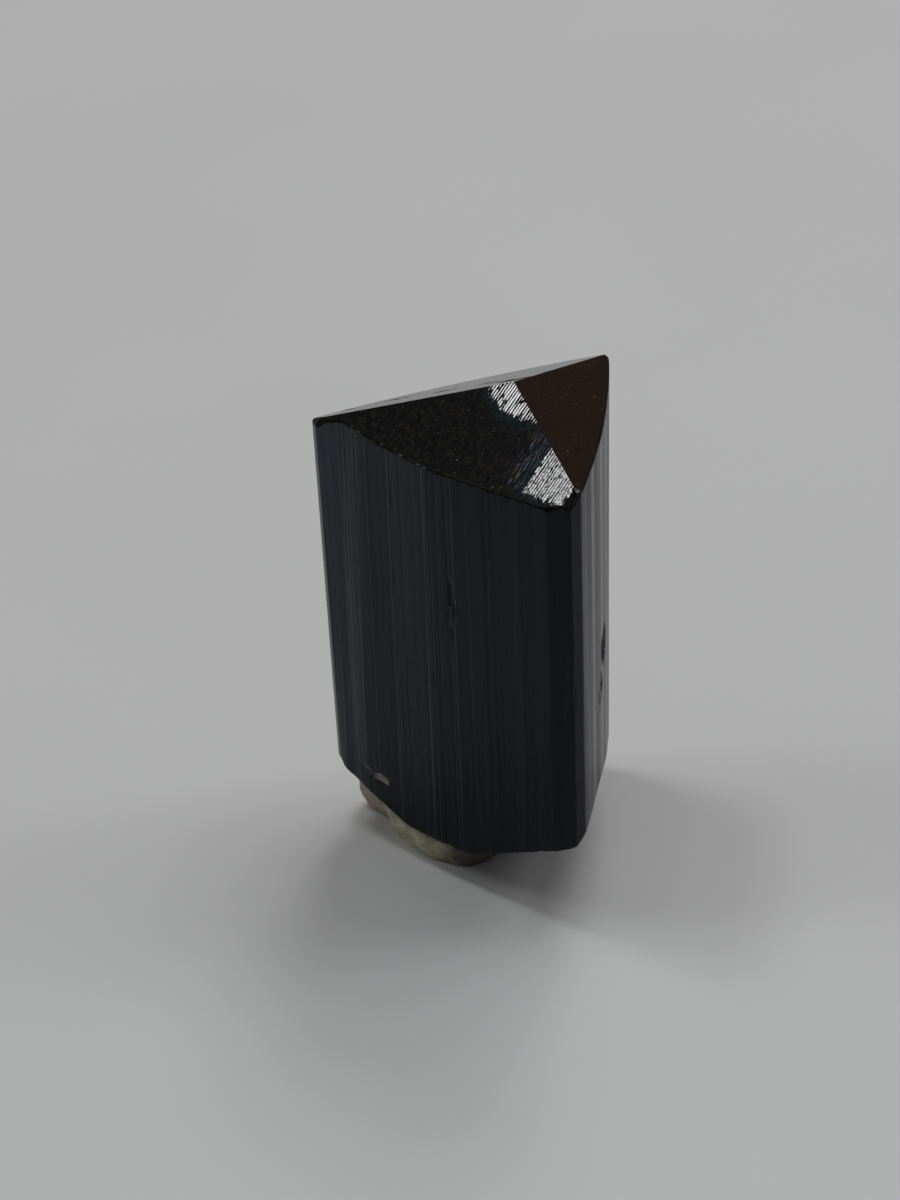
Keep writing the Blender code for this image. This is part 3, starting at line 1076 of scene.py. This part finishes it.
# %% Other finishes of the crystal
PLAIN_ENDS = (      # name, dark and pale tone, roughness, height of the grain in mm, gloss, cracks
    ("schorl right end", (0.004, 0.003, 0.0025), (0.007, 0.005, 0.004), 0.16, 0.002, 0.5, ()),
    ("schorl back end", (0.010, 0.010, 0.009), (0.026, 0.026, 0.024), 0.18, 0.002, 0.5, BACK_CRACKS),
    ("schorl break", (0.004, 0.0035, 0.003), (0.014, 0.011, 0.009), 0.3, 0.02, 0.5, ()),
    ("schorl worn edge", (0.002, 0.002, 0.002), (0.016, 0.0155, 0.012), 0.42, 0.012, 0.05, ()),
    ("schorl chips", (0.03, 0.03, 0.032), (0.20, 0.21, 0.22), 0.4, 0.02, 0.2, ()),
)
END_SPECK_TONE = (0.12, 0.10, 0.045)


def plain_end_finish(name, dark, pale, roughness, height_mm, gloss, lines):
    """A smooth face: two near-black tones, clustered specks, a slight grain and any cracks."""
    material, spot = new_finish(name, apex)
    crowded = between(grain(spot, 0.45, 2.0), 0.45, 0.60)
    specks = between(crowded * 0.05 + grain(spot, 6.5, 2.0), 0.71, 0.75)
    colour = mixed(specks, ramp(grain(spot, 1.5, 4.0), ((0.3, dark), (0.7, pale))), END_SPECK_TONE)
    normal = leaned(CRACK_LEAN, cracks(spot, lines)) if lines else None
    return settled(material, SCHORL_IOR, colour, roughness,
                   bumped(grain(spot, 5.0, 4.0) * height_mm, normal), gloss)


crystal_finishes += [plain_end_finish(*end) for end in PLAIN_ENDS]

# %% [markdown]
# ## From rings to a mesh
#
# Rings that follow one another share quads, and a fan of triangles closes each pole. Written with
# index arrays, the whole surface is made in one call. Faces get their finish by ring and column.

# %% Closed skin
SHARP_EDGE = math.radians(24.0)


def closed_skin(name, rings, low_pole, high_pole, finishes, index=None):
    """Quads (ring i, column j), (i, j+1), (i+1, j+1), (i+1, j), and fans at both poles."""
    ring_count, columns = rings.shape[:2]
    points = np.concatenate([rings.reshape(-1, 3), [low_pole, high_pole]]) * MM
    grid = np.arange(ring_count * columns).reshape(ring_count, columns)
    following = np.roll(grid, -1, axis=1)
    quads = np.stack([grid[:-1], following[:-1], following[1:], grid[1:]], axis=-1).reshape(-1, 4)
    low = np.stack([np.full(columns, len(points) - 2), following[0], grid[0]], axis=-1)
    high = np.stack([grid[-1], following[-1], np.full(columns, len(points) - 1)], axis=-1)
    mesh = bpy.data.meshes.new(name)
    mesh.from_pydata(points.tolist(), [], quads.tolist() + low.tolist() + high.tolist())
    for item in finishes:
        mesh.materials.append(item)
    if index is not None:
        every = np.concatenate([index.reshape(-1), index[0], index[-1]]).astype(np.int32)
        mesh.polygons.foreach_set("material_index", every)
    mesh.shade_smooth()
    mesh.set_sharp_from_angle(angle=SHARP_EDGE)
    item = bpy.data.objects.new(name, mesh)
    scene.collection.objects.link(item)
    print(name, "triangles:", 2 * len(quads) + 2 * columns)
    return item


# %% [markdown]
# ## The crystal
#
# The rings of the foot, the sides and the cap are one closed skin with seven finishes. They could be
# split into seven meshes, but a crystal is one body, and one mesh has no seams at its edges.

# %% The crystal
SIDE, FRONT_END, RIGHT_END, BACK_END, BREAK, WORN, CHIPPED = range(7)
CHIP_WALKS, CHIP_SIZE, CHIP_LEVEL = (2.6, 8.6), 0.2, 0.24


def crystal_face_finishes():
    """Finish of each face: break below, sides, worn edge above, and three end faces by azimuth."""
    middle = (azimuths + np.roll(azimuths, -1)) / 2.0
    middle[-1] = (azimuths[-1] + azimuths[0] + 360.0) / 2.0
    off = [np.abs((middle - face + 180.0) % 360.0 - 180.0) for face in FACE_AZIMUTHS]
    end = np.array([FRONT_END, RIGHT_END, BACK_END])[np.argmin(off, axis=0)]
    index = np.tile(end, (len(skin) - 1, 1))
    below = FOOT_ROWS + len(RIM_SHARES)
    above = below + SIDE_ROWS
    index[:below - 1] = BREAK
    index[below - 1:above - 1] = SIDE
    index[above - 1:above + len(RIM_SHARES) + 1] = WORN
    bruised = rough(top_points, CHIP_SIZE, 57, 2) > CHIP_LEVEL
    index[above:above + 2, (walk > CHIP_WALKS[0]) & (walk < CHIP_WALKS[1]) & bruised] = CHIPPED
    return index


axis_place = np.array([apex[0], apex[1], 0.0])
foot_pole = np.array([0.0, 0.0, foot_height(np.zeros(2))])
crystal = closed_skin("schorl_crystal_skin", skin + axis_place, foot_pole + axis_place, apex,
                      crystal_finishes, crystal_face_finishes())
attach(crystal, "root")
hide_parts("schorl_crystal")

# %% [markdown]
# ## Feldspar matrix
#
# The crystal grew in feldspar, and a lump of it is left under the low left end. It is a low cake that
# fits the crystal's break above and is flat below. Its sides are lumpy, so they are rings of an oval
# pushed in and out by waves and noise, and its top ring is laid on the break's own height. Lobes are an
# azimuth, a reach and a width in degrees; waves are a count, a share of the reach and a phase.

# %% Matrix shape
MATRIX_CENTRE = (-3.4, 1.0)
MATRIX_RADII = (5.6, 4.25)
MATRIX_LOBES = ((159.0, 2.9, 11.0), (208.0, -0.65, 24.0), (310.0, -0.75, 22.0))
MATRIX_WAVES = ((3, 0.05, 40.0), (5, 0.035, 110.0), (8, 0.02, 15.0))
MATRIX_PROFILE = ((0.0, 0.12, 0.3, 0.5, 0.7, 0.86, 0.96, 1.0),
                  (0.93, 0.965, 0.99, 1.0, 0.99, 0.96, 0.9, 0.8))      # heights and shares of the reach
MATRIX_COLUMNS, WALL_ROWS, FLAT_ROWS = 420, 60, 6
MATRIX_CONTACT = 0.05
LUMPS = ((0.16, 1.6, 71, 3), (0.07, 0.45, 81, 4))      # height, size, seed and octaves


def matrix_reach(azimuth):
    """Oval times one plus three waves, plus a lobe towards the left corner and less beside it."""
    angle = np.radians(azimuth)
    oval = 1.0 / np.hypot(np.cos(angle) / MATRIX_RADII[0], np.sin(angle) / MATRIX_RADII[1])
    waves = sum(share * np.cos(count * angle + math.radians(phase)) for count, share, phase in MATRIX_WAVES)
    lobes = sum(reach * np.exp(-(((azimuth - middle + 180.0) % 360.0 - 180.0) / width) ** 2)
                for middle, reach, width in MATRIX_LOBES)
    return oval * (1.0 + waves) + lobes


def matrix_stages():
    """Shares of the height, the reach and the lumps for each ring: below, up the wall and on top."""
    heights, shares = MATRIX_PROFILE
    below = [(0.0, shares[0] * (row + 0.5) / FLAT_ROWS, 0.0) for row in range(FLAT_ROWS)]
    wall = [(level, np.interp(level, heights, shares),
             math.sin(math.pi * min(level * 1.2 + 0.1, 1.0)) ** 0.5)
            for level in np.linspace(0.0, 1.0, WALL_ROWS)]
    top = [(1.0, shares[-1] * (1.0 - (row + 1) / (FLAT_ROWS + 1)), 0.0) for row in range(FLAT_ROWS)]
    return below + wall + top


def matrix_rings():
    """Rings by stage: the reach and the break's height by their shares, and lumps of two sizes."""
    azimuth = np.linspace(0.0, 360.0, MATRIX_COLUMNS, endpoint=False)
    reach = matrix_reach(azimuth)
    rings = []
    for level, share, lumpy in matrix_stages():
        flat = plan(azimuth, reach * share) + MATRIX_CENTRE
        points = np.column_stack([flat, level * (foot_height(flat) + MATRIX_CONTACT)])
        lumps = sum(height * rough(points, *lump) for height, *lump in LUMPS)
        points[:, :2] += plan(azimuth, lumps * lumpy)
        rings.append(points)
    return np.array(rings)


matrix_skin = matrix_rings() + axis_place
print("matrix skin rings and columns:", matrix_skin.shape[:2])

# %% [markdown]
# ## Finish of the matrix
#
# Weathered feldspar is cream, cloudy and matt, with dirt in blotches. The end under the crystal is brown,
# partly iron stain and partly painted shade, and the left end is a darker tan. Mixing plain tones by noise
# in real sizes gives that, and each tone keeps to its own end.

# %% Matrix finish
FELDSPAR_IOR = 1.53
CREAM_TONES = ((0.3, (0.36, 0.33, 0.20)), (0.5, (0.54, 0.51, 0.35)), (0.7, (0.74, 0.71, 0.54)))
BROWN_STAIN_AND_SHADE, LEFT_END_TAN, DIRT = (0.075, 0.052, 0.042), (0.40, 0.34, 0.26), (0.09, 0.08, 0.055)


def matrix_finish():
    """Cream feldspar: cloudy cream and olive, brown under the crystal as stain and painted shade, darker tan
    at the left end, and dirt in blotches.
    """
    material, spot = new_finish("feldspar matrix", axis_place)
    ragged = grain(spot, 1.6, 4.0) * 1.6 - 0.8
    colour = layered(ramp(grain(spot, 0.9, 5.0), CREAM_TONES), (
        # Brown at the end under the crystal: partly iron stain, partly painted shade.
        (between(dot(spot, (1.0, -0.4, 0.0)) + ragged, -5.0, -2.8) * 0.9, BROWN_STAIN_AND_SHADE),
        # Darker tan towards the left end.
        (between(dot(spot, SIDEWAYS) + ragged, -8.3, -9.3) * 0.7, LEFT_END_TAN),
        (between(grain(spot, 3.5, 5.0), 0.56, 0.68) * 0.4, DIRT)))
    return settled(material, FELDSPAR_IOR, colour, 0.62, bumped(grain(spot, 6.0, 6.0) * 0.06))


matrix_low = np.array([*MATRIX_CENTRE, 0.0]) + axis_place
matrix_high = matrix_low + (0.0, 0.0, foot_height(np.array(MATRIX_CENTRE)) + MATRIX_CONTACT)
matrix = closed_skin("feldspar_matrix_skin", matrix_skin, matrix_low, matrix_high, [matrix_finish()])
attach(matrix, "root")
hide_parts("feldspar_matrix")

# %% [markdown]
# ## Feldspar grain
#
# The grain in the front side is a cleaved sliver: a flat plate whose face breaks into small steps.
# It is a closed form of rings too: rings of a slanted, squared oval run from its buried back, round its
# edge and over its stepped face. The stages give a share of the outline and how far forward it is.

# %% Grain shape
FLAKE_COLUMNS = 96
FLAKE_STAGES = ((0.3, 0), (0.7, 0), (1.0, 0), (1.04, 0.5), (1.02, 0.85),
                *((share, 1) for share in np.linspace(0.97, 0.06, 16)))
FLAKE_BURIED, FLAKE_PROUD, STEP_DEPTH, STEPS_PER_MM = 0.42, 0.02, 0.05, 2.5
CHORD_LEAD = 0.30


def front_side_bulge(share):
    """How far the front side stands out from its chord: a parabola, less the hollow at the left."""
    depth, deepest, last = LEFT_HOLLOW
    hollow = depth * (FLAKE_HEIGHT / BLANK_HEIGHT) * (last - share) / (last - deepest)
    return 4.0 * share * (1.0 - share) * FRONT_BULGE - hollow


def on_front_side(walked, level, depth):
    """Points at a walk along the front side's chord, a height and a depth square to the side."""
    start, end = plan(*LEFT_CORNER), plan(*FRONT_CORNER)
    length = np.hypot(*(end - start))
    chord = (end - start) / length
    out = front_side_bulge(walked / length) + depth
    flat = start + np.outer(walked, chord) + np.outer(out, (chord[1], -chord[0]))
    return np.column_stack([flat, level])


def flake_rings():
    """Rings by share of the outline and depth; the face steps down by noise rounded to levels."""
    angle = np.linspace(0.0, 2.0 * math.pi, FLAKE_COLUMNS, endpoint=False)
    power = FLAKE_SQUARENESS
    squared = (np.abs(np.cos(angle)) ** power + np.abs(np.sin(angle)) ** power) ** (-1.0 / power)
    around = np.column_stack([np.cos(angle), np.sin(angle), 0 * angle])
    wavy = squared * (1.0 + 0.08 * rough(around, 0.5, 91, 3))
    rings = []
    for share, front in FLAKE_STAGES:
        along = FLAKE_HALF_LENGTH * np.cos(angle) * wavy * share
        level = FLAKE_HALF_HEIGHT * np.sin(angle) * wavy * share + along * math.sin(FLAKE_SLANT)
        level = level - flake_drop(along)
        face = np.column_stack([along, 2.2 * level, 0 * along])
        steps = np.round(STEPS_PER_MM * rough(face, 0.6, 95, 2) + 1.4 * along) / STEPS_PER_MM
        proud = FLAKE_PROUD - STEP_DEPTH * np.clip(-steps, 0.0, 2.0)
        rings.append(on_front_side(CHORD_LEAD + FLAKE_WALK + along * math.cos(FLAKE_SLANT),
                                   FLAKE_HEIGHT + level, front * proud - FLAKE_BURIED * (1 - front)))
    return np.array(rings)


flake_skin = flake_rings() + axis_place
flake_middle = flake_skin[-1].mean(axis=0)
print("grain's middle in mm:", flake_middle.round(2))

# %% [markdown]
# ## Finish of the grain
#
# Cleaved feldspar has a silky shine, so it is smoother than the matrix. It is pink and paler at its right
# end, partly its own colour and partly a painted highlight, browner at the other, and crossed by fine dark
# cracks from noise.

# %% Grain finish
BROWN_FELDSPAR, PINK_FELDSPAR_AND_HIGHLIGHT, CRACK_TONE = (0.07, 0.054, 0.05), (0.27, 0.20, 0.19), (0.03, 0.022, 0.02)


def flake_finish():
    """Silky cleavage, brown with fine dark cracks, and paler pink at the right end, partly its own colour
    and partly a painted highlight.
    """
    material, spot = new_finish("pink feldspar", flake_middle)
    colour = layered(BROWN_FELDSPAR, (
        # Paler pink at the right end: partly the grain's own pink, partly a painted highlight.
        (between(dot(spot, (0.79, -0.61, 0.0)), -0.25, 0.1), PINK_FELDSPAR_AND_HIGHLIGHT),
        (between(grain(spot, 4.0, 5.0), 0.55, 0.68), CRACK_TONE)))
    return settled(material, FELDSPAR_IOR, colour, 0.38, bumped(grain(spot, 7.0, 4.0) * 0.03))


flake = closed_skin("feldspar_flake_skin", flake_skin, flake_skin[0].mean(axis=0), flake_middle,
                    [flake_finish()])
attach(flake, "root")
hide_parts("feldspar_flake")

# %% [markdown]
# ## Table
#
# A pale sheet lies under the piece. It could be a modelled board, but a plain surface with a soft sheen
# is all that shows. It is large enough that its end is hardly ever in view, and it isn't part of the
# object.

# %% Table
TABLE_HALF = 3.0
TABLE_CORNERS = ((-1, -1), (1, -1), (1, 1), (-1, 1))
TABLE_TONES = ((0.3, (0.755, 0.765, 0.77)), (0.7, (0.785, 0.795, 0.80)))


def table_finish():
    """Pale grey with a hardly visible cloudiness."""
    material, spot = new_finish("pale table", (0.0, 0.0, 0.0))
    return settled(material, 1.45, ramp(grain(spot, 0.02, 2.0), TABLE_TONES), 0.55)


table_mesh = bpy.data.meshes.new("table")
table_mesh.from_pydata([(x * TABLE_HALF, y * TABLE_HALF, 0.0) for x, y in TABLE_CORNERS], [],
                       [(0, 1, 2, 3)])
table_mesh.materials.append(table_finish())
table = bpy.data.objects.new("table", table_mesh)
scene.collection.objects.link(table)

# %% [markdown]
# ## Light
#
# Soft round lights stand for a room's rows of ceiling lamps, to the left, behind, to the right and above.
# A small bright one, high at the left, makes the grooved patches flash. Each is placed by its azimuth and
# elevation, and its power follows from how wide it looks and the share of the light it gives on the table.

# %% Lamps
LAMP_DISTANCE = 1.2
TABLE_LIGHT = 1.56
LAMPS = (      # name, azimuth, elevation, half angle and share of the light
    ("left lamp", 179.0, 51.0, 9.0, 0.11),
    ("back lamp", 74.0, 52.0, 9.5, 0.21),
    ("back right lamp", 43.0, 62.0, 8.0, 0.10),
    ("high right lamp", 14.0, 70.0, 9.0, 0.12),
    ("low right lamp", 10.0, 47.0, 9.0, 0.12),
    ("groove lamp", 151.0, 70.0, 5.4, 0.20),
    ("top lamp", 130.0, 84.0, 8.0, 0.10),
)


def add_lamp(name, azimuth, elevation, half_angle, share):
    """Disc aimed at the piece: radiance is light over solid angle and sine of elevation."""
    data = bpy.data.lights.new(name, "AREA")
    data.shape = "DISK"
    radius = LAMP_DISTANCE * math.tan(math.radians(half_angle))
    data.size = 2.0 * radius
    solid = math.pi * math.sin(math.radians(half_angle)) ** 2
    radiance = share * TABLE_LIGHT / (solid * math.sin(math.radians(elevation)))
    data.energy = radiance * math.pi * math.pi * radius ** 2
    lamp = bpy.data.objects.new(name, data)
    rise = math.radians(elevation)
    way = Vector((*plan(azimuth, math.cos(rise)), math.sin(rise)))
    lamp.location = way * LAMP_DISTANCE
    lamp.rotation_euler = way.to_track_quat("Z", "Y").to_euler()
    scene.collection.objects.link(lamp)
    print(name, "radiance:", round(radiance, 2))


for lamp_values in LAMPS:
    add_lamp(*lamp_values)

# %% [markdown]
# ## Room
#
# The rest of the room is dim: near black above, and warm brown low down behind the piece, which is
# what the right end face mirrors. The camera itself sees a pale wall there in the views where the
# table ends.

# %% Room
DIM_ROOM, WARM_ROOM, PALE_WALL = (0.065, 0.068, 0.072), (0.12, 0.072, 0.05), (0.42, 0.42, 0.42)


def light_room():
    """World colour by direction: a warm low band behind, dim elsewhere, pale for the camera."""
    world = bpy.data.worlds.new("room")
    world.use_nodes = True
    way = add(world.node_tree, "ShaderNodeTexCoord", {}, "Generated")
    warm = between(dot(way, (0.2, 0.98, 0.0)), 0.1, 0.6) * between(dot(way, UPRIGHT), 0.75, 0.45)
    seen = add(world.node_tree, "ShaderNodeLightPath", {}, "Is Camera Ray")
    connect(world.node_tree.nodes["Background"],
            {"Color": mixed(seen, mixed(warm, DIM_ROOM, WARM_ROOM), PALE_WALL)})
    return world


scene.world = light_room()
print("room nodes:", len(scene.world.node_tree.nodes))

# %% [markdown]
# ## Sizes
#
# The visible skin has to stay as large as the packed solids.
